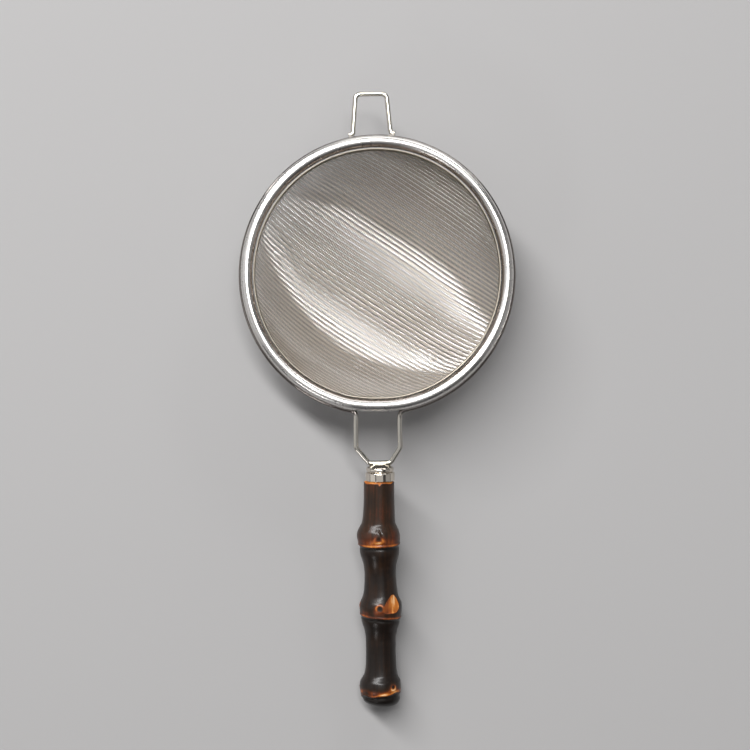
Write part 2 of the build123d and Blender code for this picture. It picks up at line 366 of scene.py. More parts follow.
def arc(centre, radius, start, end, step):
    """Points on an arc in a plane, both ends included, about one step apart."""
    count = max(2, round(abs(end - start) * radius / step) + 1)
    turn = np.linspace(start, end, count)
    return np.stack((centre[0] + radius * np.cos(turn), centre[1] + radius * np.sin(turn)), -1)


def rounded(corners, radii, step):
    """Points along straight runs between 2-D corners, with each inner corner rounded."""
    corners = [np.array(c, float) for c in corners]
    points = [corners[0]]
    for before, corner, after, radius in zip(corners, corners[1:], corners[2:], radii):
        back = unit(before - corner)
        ahead = unit(after - corner)
        half = np.arccos(np.clip(back @ ahead, -1, 1)) / 2
        reach = radius / np.tan(half)
        centre = corner + unit(back + ahead) * radius / np.sin(half)
        first = corner + back * reach - centre
        last = corner + ahead * reach - centre
        start = atan2(first[1], first[0])
        turn = (atan2(last[1], last[0]) - start + pi) % (2 * pi) - pi
        points.extend(arc(centre, radius, start, start + turn, step))
    points.append(corners[-1])
    return evened(np.array(points), step)


def run_length(line):
    """Distance of each point of a line from its start, along the line."""
    steps = np.linalg.norm(np.diff(line, axis=0), axis=1)
    return np.concatenate(([0], np.cumsum(steps)))


def resampled(line, wanted):
    """Points of a line at the wanted distances from its start."""
    place = run_length(line)
    return np.stack([np.interp(wanted, place, line[:, axis]) for axis in range(line.shape[1])], -1)


def evened(line, step):
    """The same line with points about one step apart."""
    length = run_length(line)[-1]
    return resampled(line, np.linspace(0, length, max(2, round(length / step) + 1)))


def waves(seed, x, y, length):
    """Smooth random field of x and y, mostly between -1 and 1, with waves about one length long."""
    rng = np.random.default_rng(seed)
    total = np.zeros(np.broadcast(x, y).shape)
    for _ in range(WAVE_COUNT):
        heading = rng.uniform(0, 2 * pi)
        pitch = length * rng.uniform(0.7, 1.5)
        phase = rng.uniform(0, 2 * pi)
        total += np.cos(2 * pi * (x * cos(heading) + y * sin(heading)) / pitch + phase)
    return total / sqrt(WAVE_COUNT)


def lumps(seed, angle, place, rounds, length):
    """Smooth random field round an angle and along a place, mostly between -1 and 1."""
    rng = np.random.default_rng(seed)
    total = np.zeros(np.broadcast(angle, place).shape)
    for _ in range(LUMP_COUNT):
        turns = rng.integers(-rounds, rounds + 1)
        pitch = length * rng.uniform(0.6, 2.0)
        phase = rng.uniform(0, 2 * pi)
        total += np.cos(turns * angle + 2 * pi * place / pitch + phase)
    return total / sqrt(LUMP_COUNT)


def smooth_step(value, low, high):
    share = np.clip((value - low) / (high - low), 0, 1)
    return share * share * (3 - 2 * share)


def bump(value, centre, width):
    """1 at the centre, falling to 0 like a bell."""
    return np.exp(-(((value - centre) / width) ** 2))


def out_of_round(points):
    """Moves points on and near the rim as the real rim is bent: a little oval, flatter at the fork."""
    points = np.array(points, float)
    x, y = points[..., 0], points[..., 1]
    off_centre = np.hypot(x, y)
    angle = np.arctan2(y, x)
    not_fork = smooth_step(y, FORK_ROOT_Y - FORK_FADE, FORK_ROOT_Y)
    not_hook = 1 - smooth_step(y, *RING_END)
    on_rim = smooth_step(off_centre, *RING_START)
    on_ring = on_rim * smooth_step(off_centre, *reversed(RING_END))
    flat = FLAT_DEPTH * bump(angle, -pi / 2, FLAT_ARC) - BULGE * bump(angle, BULGE_ANGLE, BULGE_ARC)
    share = on_rim * not_fork * flat / RIM_R
    oval = OVAL * not_fork * not_hook
    north = smooth_step(np.sin(angle), 0, 1)
    points[..., 0] = x * (1 - oval - share) + RING_SHIFT * on_ring
    points[..., 1] = y * (1 + oval - share) + NORTH_STRETCH * on_ring * north
    return points


# ---------------------------------------------------------------- bowl mesh

SIDE_START_R = BOTTOM_R * sin(SLOPE_A)
HEM_BEND_WIDTH = HEM_BEND_R * (1 - sin(SLOPE_B))
SIDE_R = (HEM_R - HEM_BEND_WIDTH - SIDE_START_R) / (sin(SLOPE_B) - sin(SLOPE_A))
BOTTOM_ARC = BOTTOM_R * SLOPE_A
SIDE_ARC = SIDE_R * (SLOPE_B - SLOPE_A)
HEM_ARC = HEM_BEND_R * (pi / 2 - SLOPE_B)
MESH_ARC = BOTTOM_ARC + SIDE_ARC + HEM_ARC + HEM_COVERED


def bowl_section(place):
    """Radius, height and slope of the mesh's middle surface at a distance along it from the centre."""
    on_side = np.clip(place - BOTTOM_ARC, 0, SIDE_ARC) / SIDE_R
    on_hem = np.clip(place - BOTTOM_ARC - SIDE_ARC, 0, HEM_ARC) / HEM_BEND_R
    above = np.maximum(place - BOTTOM_ARC - SIDE_ARC - HEM_ARC, 0)
    slope_1 = np.minimum(place, BOTTOM_ARC) / BOTTOM_R
    slope_2 = slope_1 + on_side
    slope_3 = slope_2 + on_hem
    radius = BOTTOM_R * np.sin(slope_1) + SIDE_R * (np.sin(slope_2) - np.sin(slope_1))
    radius += HEM_BEND_R * (np.sin(slope_3) - np.sin(slope_2))
    height = BOTTOM_R * (1 - np.cos(slope_1)) + SIDE_R * (np.cos(slope_1) - np.cos(slope_2))
    height += HEM_BEND_R * (np.cos(slope_2) - np.cos(slope_3)) + above
    return radius, height + MESH_RISE, slope_3


def inside_edge(place, distances):
    """Rises from 0 to 1 between two distances from the mesh's edge, the first one given being 0."""
    return smooth_step(place, MESH_ARC - distances[0], MESH_ARC - distances[1])


def on_bowl(along, over, lift):
    """Points on the bowl for flat places along and across the ribs, lifted off it, and their normals."""
    over = over + RIB_DRIFT * waves(21, along, over, RIB_DRIFT_LENGTH)
    flat_x = along * cos(RIB_ANGLE) - over * sin(RIB_ANGLE)
    flat_y = along * sin(RIB_ANGLE) + over * cos(RIB_ANGLE)
    place = np.hypot(flat_x, flat_y)
    radius, height, slope = bowl_section(place)
    around = np.arctan2(flat_y, flat_x)
    out = np.stack((np.cos(around), np.sin(around), np.zeros_like(around)), -1)
    normal = UP * np.cos(slope)[..., None] - out * np.sin(slope)[..., None]
    free = inside_edge(place, SAG_EDGE)
    lift = lift * (1 - PRESSED * inside_edge(place, PRESSED_EDGE))
    sag = SAG * waves(7, flat_x, flat_y, SAG_LENGTH) * free * smooth_step(place, 0, SAG_CENTRE)
    points = out * radius[..., None] + UP * height[..., None] + normal * (lift + sag)[..., None]
    return out_of_round(points), normal


def wire_run(fixed, step):
    """Even places along a wire that lies at a fixed distance from the bowl's centre line."""
    reach = sqrt(max(MESH_ARC ** 2 - fixed ** 2, 0))
    count = int((reach - step / 4) / step)
    return np.concatenate(([-reach], np.arange(-count, count + 1) * step, [reach]))


def fine_wires():
    """The fine wires, each over one rib and under the next, with a painted shadow line beside each rib.
    """
    rng = np.random.default_rng(11)
    count = int((MESH_ARC - FINE_MARGIN) / FINE_PITCH)
    parts = []
    for number in range(-count, count):
        along = (number + 0.5) * FINE_PITCH + rng.normal(0, FINE_JITTER)
        run = wire_run(along, FINE_STEP)
        lift = FINE_WAVE * np.cos(pi * run / RIB_PITCH + pi * number)
        path, normal = on_bowl(np.full_like(run, along), run, lift)
        points, faces = tube(path, FINE_R, FINE_SIDES, normal, flatness=FINE_FLATNESS)
        # Painted shadow: the colour goes dark in a line just beside each rib.
        beside_rib = (run / RIB_PITCH - GAP_PLACE + 0.5) % 1 - 0.5
        share = 1 - bump(beside_rib, 0, GAP_WIDTH)
        parts.append((points, faces, wire_mask(share, FINE_SIDES)))
    return parts


def ribs():
    """The thick ribs, which the fine wires bend round."""
    rng = np.random.default_rng(12)
    count = int((MESH_ARC - RIB_MARGIN) / RIB_PITCH)
    parts = []
    for number in range(-count, count + 1):
        over = number * RIB_PITCH + rng.normal(0, RIB_JITTER)
        run = wire_run(over, RIB_STEP)
        lift = RIB_WAVE * np.cos(pi * (run / FINE_PITCH - 0.5) + pi * (number + 1))
        path, normal = on_bowl(run, np.full_like(run, over), lift)
        points, faces = tube(path, RIB_R, RIB_SIDES, normal)
        share = np.full_like(run, RIB_SHADED_BRIGHTNESS)
        parts.append((points, faces, wire_mask(share, RIB_SIDES)))
    return parts


def wire_mask(share, sides):
    """One value for each section of a wire, repeated round it, with the two cap points last."""
    return np.concatenate((np.repeat(share, sides), share[:1], share[-1:]))


def split_pieces(name, parts, pieces):
    """Mesh objects that share the wires out evenly by their number of points."""
    sizes = np.cumsum([len(points) for points, _, _ in parts])
    share = np.minimum((sizes - 1) * pieces // sizes[-1], pieces - 1)
    made = []
    for number in range(pieces):
        group = [part for part, place in zip(parts, share) if place == number]
        piece = joined(f"{name}_{number + 1}", [part[:2] for part in group])
        set_mask(piece, "painted_rib_shade", np.concatenate([part[2] for part in group]))
        made.append(piece)
    return made


# ---------------------------------------------------------------- rim and wires

def revolved(name, outer, inner, seam_angle, count):
    """A strip section given by its two faces, turned round the vertical from seam to seam."""
    half_seam = SEAM_WIDTH / 2 / RIM_R
    section = np.concatenate((outer, inner[::-1]))
    turn = np.linspace(seam_angle + half_seam, seam_angle + 2 * pi - half_seam, count)[:, None]
    radius, height = section[None, :, 0], section[None, :, 1]
    height = np.broadcast_to(height, (count, len(section)))
    points = np.stack((radius * np.cos(turn), radius * np.sin(turn), height), -1)
    points = out_of_round(points).reshape(-1, 3)
    strip = np.arange(len(outer) - 1)
    facing = len(section) - 1 - strip
    cap = np.stack((strip, strip + 1, facing - 1, facing), -1) + len(points)
    caps = np.concatenate((cap, cap[:, ::-1] + len(section)))
    points = np.concatenate((points, points[:len(section)], points[-len(section):]))
    return mesh_object(name, points, [grid_faces(count, len(section))[:, ::-1], caps])


def strip_section(line, thickness):
    """Both faces of a strip along a centre line, with rounded edges."""
    along = unit(np.gradient(line, axis=0))
    side = np.stack((along[:, 1], -along[:, 0]), -1)
    place = run_length(line)
    edge = np.minimum(place, place[-1] - place) / (thickness / 2)
    half = thickness / 2 * np.sqrt(np.clip(1 - (1 - np.clip(edge, EDGE_START, 1)) ** 2, 0, 1))
    return line + side * half[:, None], line - side * half[:, None]


def edge_refined(points, step, edge):
    """The line with even points, and closer ones near both ends for a rounded edge."""
    line = evened(np.array(points, float), FINEST_STEP)
    length = run_length(line)[-1]
    near = edge * (1 - np.cos(np.linspace(0, pi / 2, EDGE_ROWS)))[:-1]
    count = max(2, round((length - 2 * edge) / step) + 1)
    middle = np.linspace(edge, length - edge, count)
    return resampled(line, np.concatenate((near, middle, length - near[::-1])))


def make_rim():
    """The rolled strip: outer wall, half-round crown and the edge that hangs down inside."""
    crown_r = (RIM_WIDTH - RIM_T) / 2
    crown_x = RIM_R - RIM_WIDTH / 2
    spring_z = RIM_TOP - RIM_WIDTH / 2
    crown = arc((crown_x, spring_z), crown_r, 0, pi, CROWN_STEP)
    foot = ((crown_x + crown_r, RIM_FOOT),)
    inner_foot = ((crown_x - crown_r, RIM_LIP_FOOT),)
    line = edge_refined(np.concatenate((foot, crown, inner_foot)), RIM_STEP, RIM_T / 2)
    outer, inner = strip_section(line, RIM_T)
    made = revolved("rim_rolled", outer, inner, SEAM_ANGLE, RIM_SECTIONS)
    section = np.concatenate((outer, inner[::-1]))
    # Painted shade, 0 on the outer wall and crown, 1 down the inner side towards the groove.
    painted_shade = smooth_step((crown_x - section[:, 0]) / crown_r, PAINTED_SHADE_START, PAINTED_SHADE_FULL)
    end_caps = 2
    set_mask(made, "painted_shade", np.tile(painted_shade, RIM_SECTIONS + end_caps))
    return made


def make_clamp():
    """The upright ring inside the rim, its top edge spread outwards over the hem."""
    middle = CLAMP_OUTER_R - CLAMP_T / 2
    line = (
        (middle, CLAMP_FOOT),
        (middle, CLAMP_TOP - LIP_FLARE_START),
        (middle + LIP_FLARE, CLAMP_TOP - LIP_FLARE_END),
        (middle + LIP_FLARE, CLAMP_TOP),
    )
    outer, inner = strip_section(edge_refined(line, CLAMP_STEP, CLAMP_T / 2), CLAMP_T)
    return revolved("clamp_ring_lip", outer, inner, LIP_SEAM_ANGLE, CLAMP_SECTIONS)


def in_handle_plane(points):
    """Points given as (x, place down the handle) turned into 3-D."""
    points = np.asarray(points)
    return handle_root + points[:, :1] * across + points[:, 1:2] * handle_down


def leg_bend(x, outward, level):
    """The bend from the hoop into one leg: its centre and points, from the leg to the hoop."""
    reach = HOOP_R + LEG_BEND_R
    centre_x = x + outward * LEG_BEND_R
    centre = np.array((centre_x, -sqrt(reach ** 2 - centre_x ** 2)))
    meet = atan2(-centre[1], -centre[0])
    return centre, arc(centre, LEG_BEND_R, level, meet, BEND_STEP)


def make_frame_wire():
    """One closed wire: the level hoop, both legs of the fork and the bridge at the handle."""
    left_x = LEG_SHIFT - LEG_X
    right_x = LEG_SHIFT + LEG_X
    left_centre, left_bend = leg_bend(left_x, -1, 0)
    right_centre, right_bend = leg_bend(right_x, 1, pi)
    start = atan2(left_centre[1], left_centre[0]) + 2 * pi
    end = atan2(right_centre[1], right_centre[0])
    hoop = arc((0, 0), HOOP_R, start, end, HOOP_STEP)
    left_end = ((left_x, FORK_ROOT_Y + FORK_JOIN),)
    right_end = ((right_x, FORK_ROOT_Y + FORK_JOIN),)
    flat = np.concatenate((left_end, left_bend[:-1], hoop, right_bend[::-1][1:], right_end))
    level_part = np.column_stack((flat, np.full(len(flat), WIRE_Z)))
    fork_corners = (
        (right_x, FORK_JOIN), (right_x, LEG_END), (BRIDGE_X, BRIDGE_S),
        (-BRIDGE_X, BRIDGE_S), (left_x, LEG_END), (left_x, FORK_JOIN),
    )
    fork = rounded(fork_corners, (FORK_CORNER_R,) * 4, FORK_STEP)
    path = out_of_round(np.concatenate((level_part, in_handle_plane(fork))))
    points, faces = tube(path, WIRE_R, WIRE_SIDES, UP, closed=True)
    made = mesh_object("frame_hoop_and_fork", points, faces)
    # Painted shade: the hoop under the rim is coloured darker, the fork's legs are not.
    set_mask(made, "painted_shade", smooth_step(points[:, 1], FORK_ROOT_Y, FORK_ROOT_Y + PAINTED_SHADE_END))
    return made


def hook_side(sign):
    """Top corner, base corner and foot end of one side of the hook."""
    foot_r = HOOP_R + 2 * WIRE_R + SOLDER_GAP
    base_x = HOOK_X + sign * HOOK_BASE_HALF
    foot_angle = pi / 2 - asin(base_x / foot_r) - sign * HOOK_FOOT_ANGLE
    top = (HOOK_X + sign * HOOK_TOP_HALF, HOOK_TOP_Y)
    base = (base_x, sqrt(foot_r ** 2 - base_x ** 2))
    return top, base, (foot_r * cos(foot_angle), foot_r * sin(foot_angle))


def make_hook():
    """The flared loop opposite the handle, each foot turned outwards along the hoop."""
    left_top, left_base, left_foot = hook_side(-1)
    right_top, right_base, right_foot = hook_side(1)
    flat = rounded(
        (left_foot, left_base, left_top, right_top, right_base, right_foot),
        (HOOK_FOOT_R, HOOK_CORNER_R, HOOK_CORNER_R, HOOK_FOOT_R),
        HOOK_STEP,
    )
    path = np.column_stack((flat, np.full(len(flat), WIRE_Z)))
    points, faces = tube(out_of_round(path), WIRE_R, WIRE_SIDES, UP)
    return mesh_object("hook_loop", points, faces)


def bead(angle, arc_length, ring_r, height, size, seed):
    """A short run of solder that tapers at both ends and follows a circle."""
    turn = np.linspace(-0.5, 0.5, BEAD_ROWS)
    taper = np.sqrt(np.clip(1 - (2 * turn) ** 2, 0.0004, 1))
    taper = taper * (1 + 0.12 * waves(seed, turn * 9, 0 * turn, 3))
    place = angle + turn * arc_length / ring_r
    level = np.full(BEAD_ROWS, height)
    path = np.stack((ring_r * np.cos(place), ring_r * np.sin(place), level), -1)
    return tube(out_of_round(path), size * taper, BEAD_SIDES, UP)


def make_rim_solder():
    ring_r = RIM_R - SOLDER_INSET
    height = RIM_FOOT - SOLDER_DROP
    parts = []
    for number, angle in enumerate(SOLDER_ANGLES):
        parts.append(bead(radians(angle), SOLDER_ARC * HOOP_R, ring_r, height, SOLDER_R, number))
    return joined("rim_solder_runs", parts)


def make_hook_welds():
    foot_r = HOOP_R + WIRE_R
    parts = []
    for sign in (-1, 1):
        base_angle = pi / 2 - asin((HOOK_X + sign * HOOK_BASE_HALF) / foot_r)
        angle = base_angle - sign * HOOK_FOOT_ANGLE * 0.5
        for lift in (-WELD_LIFT, WELD_LIFT):
            seed = WELD_SEED + sign
            parts.append(bead(angle, WELD_LENGTH, foot_r, WIRE_Z + lift, WELD_R, seed))
    return joined("hook_weld_beads", parts)


# ---------------------------------------------------------------- ferrule and handle

def turned(name, corners, radii):
    """A closed shape turned round the handle's axis from (radius, place) corners, each rounded."""
    outline = rounded(corners, radii, TURNED_STEP)
    places = outline[:, 1]
    radius = np.maximum(outline[:, 0], THINNEST_TURNED)
    turn = np.linspace(0, 2 * pi, TURNED_SIDES, endpoint=False)
    ring = np.cos(turn)[:, None] * across + np.sin(turn)[:, None] * handle_up
    centre = handle_root + places[:, None] * handle_down
    points = (centre[:, None] + radius[:, None, None] * ring[None]).reshape(-1, 3)
    faces = [grid_faces(len(places), TURNED_SIDES)]
    points, faces = capped(points, faces, TURNED_SIDES, centre[0], centre[-1])
    return mesh_object(name, points, faces)


def make_cap():
    corners = (
        (0.3, CAP_START), (CAP_FLAT_R, CAP_START), (CAP_R, CAP_SHOULDER), (CAP_R, CAP_END),
        (NECK_R, CAP_END), (NECK_R - NECK_WALL, CAP_END + OVERLAP),
    )
    return turned("ferrule_cap_dome", corners, (0.9, 0.9, 0.25, 0.05))


def make_tube():
    floor_place = TUBE_START + TUBE_T
    corners = (
        (NECK_R - NECK_WALL, CAP_END - OVERLAP), (NECK_R, CAP_END - OVERLAP), (NECK_R, TUBE_START),
        (TUBE_R, TUBE_START), (TUBE_R, TUBE_END), (TUBE_R - TUBE_T, TUBE_END),
        (TUBE_R - TUBE_T, floor_place), (0.5, floor_place),
    )
    return turned("ferrule_tube_sleeve", corners, (0.05, 0.1, 0.4, 0.1, 0.1, 0.1))


def hermite(table, at):
    """Smooth curve through a table of (place, value), with no overshoot between its points."""
    places, values = np.array(table, float).T
    slopes = np.diff(values) / np.diff(places)
    tangent = np.zeros(len(values))
    for number in range(1, len(values) - 1):
        before, after = slopes[number - 1], slopes[number]
        if before * after > 0:
            tangent[number] = 2 * before * after / (before + after)
    tangent[0], tangent[-1] = slopes[0], slopes[-1]
    index = np.clip(np.searchsorted(places, at) - 1, 0, len(slopes) - 1)
    width = places[index + 1] - places[index]
    share = (at - places[index]) / width
    rise = values[index + 1] - values[index]
    start, end = tangent[index] * width, tangent[index + 1] * width
    square = (3 * rise - 2 * start - end) * share ** 2
    cube = (start + end - 2 * rise) * share ** 3
    return values[index] + start * share + square + cube


def handle_grid():
    """Places and bearings (0 at the top, towards +X) of the handle's points, and their plain radius."""
    tip_start = HANDLE_END - TIP_LENGTH
    body = np.linspace(HANDLE_START, tip_start, HANDLE_ROWS)
    round_turn = np.linspace(0, TIP_TURN, TIP_ROWS + 1)[1:]
    place = np.concatenate((body, tip_start + TIP_LENGTH * np.sin(round_turn)))[:, None]
    radius = hermite(OUTLINE, np.minimum(place, tip_start))
    radius = radius * np.concatenate((np.ones(HANDLE_ROWS), np.cos(round_turn)))[:, None]
    bearing = pi / 2 - np.linspace(0, 2 * pi, HANDLE_COLUMNS, endpoint=False)[None, :]
    bearing = (bearing + pi) % (2 * pi) - pi + 0 * place
    return place + 0 * bearing, bearing, radius + 0 * bearing


def turn_from(bearing, degrees_round):
    """Angle from a line along the handle, between -pi and pi."""
    return (bearing - radians(degrees_round) + pi) % (2 * pi) - pi


def add_bark(place, bearing, radius):
    """The bark's unevenness and fine grain, and its colour before any mark."""
    body = smooth_step(place, HANDLE_END - 0.2, HANDLE_END - 3.5)
    uneven = 0.05 * lumps(3, bearing, place, 3, 18) + 0.004 * lumps(4, bearing, place, 20, 40)
    radius = radius + body * uneven + body * 0.003 * lumps(5, bearing, place, 45, 3)
    warm = BARK_WARMTH
    for start, end, fall in DARKER_PAST:
        warm = warm - fall * smooth_step(place, start, end)
    warm = warm + 0.035 * lumps(6, bearing, place, 6, 9) + 0.03 * lumps(7, bearing, place, 40, 60)
    return radius, warm


def add_rings(place, bearing, radius, warm):
    """Sheath scars: a bare ridge with a crease past it, painted shade in the crease, and a glow before
    it.
    """
    for number, (ring, tilt, wander, height) in enumerate(RINGS):
        wavy = wander * lumps(20 + number, bearing, 0 * place, 7, 9)
        from_line = place - (ring + tilt * np.sin(bearing) + wavy)
        ridge = bump(from_line, 0, 0.3)
        crease = bump(from_line, 0.75, 0.45)
        radius = radius + height * ridge - 0.2 * crease
        patchy = 0.75 + 0.25 * lumps(30 + number, bearing, place, 8, 6)
        glow = bump(from_line, -0.9, 1.1) * smooth_step(from_line, 0.3, 0)
        bare = 0.42 * bump(from_line, -0.05, 0.33) + 0.2 * glow
        # Painted shade: the colour darkens in the crease past each ridge.
        warm = warm + patchy * bare - 0.2 * crease
    return radius, warm


def add_scars(place, bearing, radius, warm):
    """Root scars: a low round wall, golden in patches, with a dark hollow in it."""
    for scar, degrees_round, size in SCARS:
        around = turn_from(bearing, degrees_round) * radius
        away = np.hypot(around, place - scar) / size
        wall = bump(away, 1.0, 0.3)
        radius = radius + 0.07 * wall - 0.12 * bump(away, 0, 0.7)
        golden = 0.27 + 0.16 * np.sin(5 * bearing + 2 * place)
        warm = warm + wall * golden - 0.16 * bump(away, 0, 0.5) + 0.17 * bump(away, 1.3, 0.8)
    return radius, warm


def add_buds(place, bearing, radius, warm):
    """Buds: raised pointed scales with a lighter border and a sunken dark core."""
    for bud, degrees_round, half, length in BUDS:
        around = turn_from(bearing, degrees_round) * radius
        below = (place - bud) / length + 0.5
        sides = np.abs(around) - half * np.clip(below, 0, 1.1)
        sides = sides / sqrt(1 + (half / length) ** 2)
        inside = -np.maximum(np.maximum(sides, (below - 1) * length), -below * length)
        radius = radius + 0.2 * smooth_step(inside, -0.25, 0.6) - 0.07 * bump(inside, -0.3, 0.25)
        core = bump(np.hypot(around, (place - bud - length * 0.2) * 0.8), 0, half * 0.4)
        radius = radius - 0.2 * core
        halo = bump(np.hypot(around / half, (place - bud - length * 0.35) / 1.6), 0, 1.1)
        patchy = 0.75 + 0.4 * lumps(15, bearing, place, 14, 2.5)
        border = bump(inside, 0.3, 0.42) * patchy * smooth_step(below, 0.25, 0.75)
        warm = warm + 0.3 * border + 0.24 * halo - 0.3 * core
    return radius, warm


def add_cuts(place, bearing, radius, warm):
    """Pared cuts: flat faces of bare wood, with painted shade to one side and at one end, and a painted
    highlight streak near one edge.
    """
    plain = hermite(OUTLINE, np.minimum(place, HANDLE_END - TIP_LENGTH))
    for cut, degrees_round, depth, length in CUTS:
        aside = turn_from(bearing, degrees_round) - 0.05 * (cut - place)
        share = (place - cut) / length
        fall = depth * np.sqrt(np.clip(1 - share, 0, 1)) * np.clip(1 + share, 0, 2) ** 1.1
        face = np.where(np.abs(share) < 1, (plain - fall) / np.cos(np.clip(aside, -1, 1)), 99)
        face = face + 0.02 * lumps(8, bearing, place, 14, 3)
        over = radius - face
        cut_in = smooth_step(over, 0.0, 0.06)
        border = bump(over, 0.0, 0.05)
        radius = np.minimum(radius, face)
        grain = 0.035 * lumps(9, bearing, place, 45, 30) + 0.05 * lumps(14, bearing, place, 9, 5)
        # Painted shade to one side and at one end, less a painted highlight streak near one edge.
        painted_light = 0.2 * smooth_step(aside, 0.0, -0.3) + 0.1 * smooth_step(share, 0.3, 1)
        painted_light = painted_light - 0.16 * bump(aside, 0.12, 0.07)
        warm = warm * (1 - cut_in) + cut_in * (CUT_WARMTH + grain - painted_light) + 0.1 * border
    return radius, warm


def add_sawn_edge(place, bearing, radius, warm):
    """The bare sawn edge next to the ferrule, with a ragged border and one deeper notch."""
    ragged = 0.4 + 0.14 * lumps(10, bearing, 0 * place, 9, 9) + 0.7 * bump(bearing, 0.03, 0.07)
    from_start = place - HANDLE_START
    bare = smooth_step(from_start, ragged + 0.1, ragged - 0.1)
    radius = radius - 0.42 * smooth_step(from_start, ragged * 0.9, 0)
    wood = SAWN_WARMTH + 0.08 * lumps(11, bearing, place, 30, 3)
    return radius, warm * (1 - bare) + bare * wood


def add_rubbed_band(place, bearing, warm):
    """The rubbed zigzag band before the dark tip."""
    zigzag = RUBBED_PLACE + 0.45 * lumps(12, bearing, 0 * place, 8, 9)
    patchy = 0.75 + 0.35 * lumps(13, bearing, place, 12, 2.2)
    band = bump(place, zigzag, 0.75) * patchy
    return warm + 0.4 * band - 0.12 * smooth_step(place, *TIP_DARK)


def handle_surface():
    """The grid with all its marks: place, bearing, radius, and how warm and light the colour is."""
    place, bearing, radius = handle_grid()
    radius, warm = add_bark(place, bearing, radius)
    for add_marks in (add_rings, add_scars, add_buds, add_cuts, add_sawn_edge):
        radius, warm = add_marks(place, bearing, radius, warm)
    warm = add_rubbed_band(place, bearing, warm)
    return place, bearing, radius, np.clip(warm, 0, 1)


def make_handle():
    place, bearing, radius, warm = handle_surface()
    rows, columns = place.shape
    aside = hermite(DRIFT, place)
    points = handle_root + place[..., None] * handle_down
    points = points + (aside + radius * np.sin(bearing))[..., None] * across
    points = points + (radius * np.cos(bearing))[..., None] * handle_up
    start = handle_root + HANDLE_START * handle_down + DRIFT[0][1] * across
    end = handle_root + HANDLE_END * handle_down + DRIFT[-1][1] * across
    faces = [grid_faces(rows, columns)]
    points, faces = capped(points.reshape(-1, 3), faces, columns, start, end)
    made = mesh_object("handle_bamboo_root", points, faces)
    set_mask(made, "warm", np.concatenate((warm.ravel(), (SOCKET_WARMTH, warm[-1].mean()))))
    return made


# ---------------------------------------------------------------- materials

def material(name):
    """A new node material and its shader."""
    made = bpy.data.materials.new(name)
    made.use_nodes = True
    return made, made.node_tree, made.node_tree.nodes["Principled BSDF"]


def add_node(tree, kind, inputs=(), **settings):
    """Adds a node. inputs maps a socket's name to a value or to another node's output."""
    made = tree.nodes.new(kind)
    for key, value in settings.items():
        setattr(made, key, value)
    for key, value in dict(inputs).items():
        if isinstance(value, bpy.types.NodeSocket):
            tree.links.new(value, made.inputs[key])
        else:
            made.inputs[key].default_value = value
    return made


def ramp(tree, factor, stops):
    """A colour ramp from (position, colour) stops, and its colour output."""
    made = add_node(tree, "ShaderNodeValToRGB", {"Fac": factor})
    elements = made.color_ramp.elements
    while len(elements) < len(stops):
        elements.new(0.5)
    for element, (position, colour) in zip(elements, stops):
        element.position = position
        element.color = (*colour, 1)
    return made.outputs["Color"]


def grey(value):
    return (value, value, value)


def noise(tree, place, scale, detail, **settings):
    """A noise texture at a place, and its value output."""
    inputs = {"Vector": place, "Scale": scale, "Detail": detail, **settings}
    return add_node(tree, "ShaderNodeTexNoise", inputs).outputs["Fac"]


def steel(name, colour, roughness, spread, scale, scratch, painted_shade=None):
    """Metal with patchy polish and fine scratches, and painted shade, a darker colour, where the piece's
    mask says.
    """
    made, tree, shader = material(name)
    place = add_node(tree, "ShaderNodeTexCoord").outputs["Object"]
    cloud = noise(tree, place, scale, 4.0)
    shade = ramp(tree, cloud, ((0.3, [c * 0.93 for c in colour]), (0.7, colour)))
    # Painted shade: the mask darkens the colour where shade falls on the piece.
    if painted_shade:
        mask = add_node(tree, "ShaderNodeAttribute", attribute_name="painted_shade").outputs["Fac"]
        both = {"Fac": mask, "Color1": shade, "Color2": (*painted_shade, 1)}
        shade = add_node(tree, "ShaderNodeMixRGB", both).outputs["Color"]
    tree.links.new(shade, shader.inputs["Base Color"])
    polish = ramp(tree, cloud, ((0.3, grey(roughness)), (0.7, grey(roughness + spread))))
    tree.links.new(polish, shader.inputs["Roughness"])
    relief = {"Height": noise(tree, place, scale * 9, 6.0), "Strength": scratch, "Distance": 0.0001}
    marks = add_node(tree, "ShaderNodeBump", relief)
    tree.links.new(marks.outputs["Normal"], shader.inputs["Normal"])
    shader.inputs["Metallic"].default_value = 1.0
    return made


def woven_steel():
    """Mesh wire: painted shade, a darker colour, where the piece's mask is low, with a second, sharper
    reflection over it.
    """
    made, tree, shader = material("mesh_woven_steel")
    painted_rib_shade = add_node(tree, "ShaderNodeAttribute", attribute_name="painted_rib_shade").outputs["Fac"]
    # Painted shade and shadow: near black where the mask is 0.
    shade = ramp(tree, painted_rib_shade, ((0.0, (0.03, 0.026, 0.021)), (1.0, (0.58, 0.505, 0.42))))
    tree.links.new(shade, shader.inputs["Base Color"])
    shader.inputs["Metallic"].default_value = 1.0
    shader.inputs["Roughness"].default_value = 0.62
    shader.inputs["Coat Weight"].default_value = 1.0
    shader.inputs["Coat IOR"].default_value = 4.0
    shader.inputs["Coat Roughness"].default_value = 0.08
    return made


def add_scaled(tree, value, scale, offset):
    """value times scale plus offset."""
    inputs = {0: value, 1: scale, 2: offset}
    return add_node(tree, "ShaderNodeMath", inputs, operation="MULTIPLY_ADD").outputs["Value"]


def add_sum(tree, value, other):
    return add_node(tree, "ShaderNodeMath", {0: value, 1: other}, operation="ADD").outputs["Value"]


BAMBOO_COLOURS = (
    (0.0, (0.005, 0.0035, 0.0025)), (0.13, (0.008, 0.0045, 0.003)), (0.3, (0.022, 0.010, 0.0045)),
    (0.46, (0.075, 0.018, 0.006)), (0.62, (0.22, 0.055, 0.010)), (0.8, (0.42, 0.14, 0.02)),
    (0.97, (0.66, 0.40, 0.20)),
)


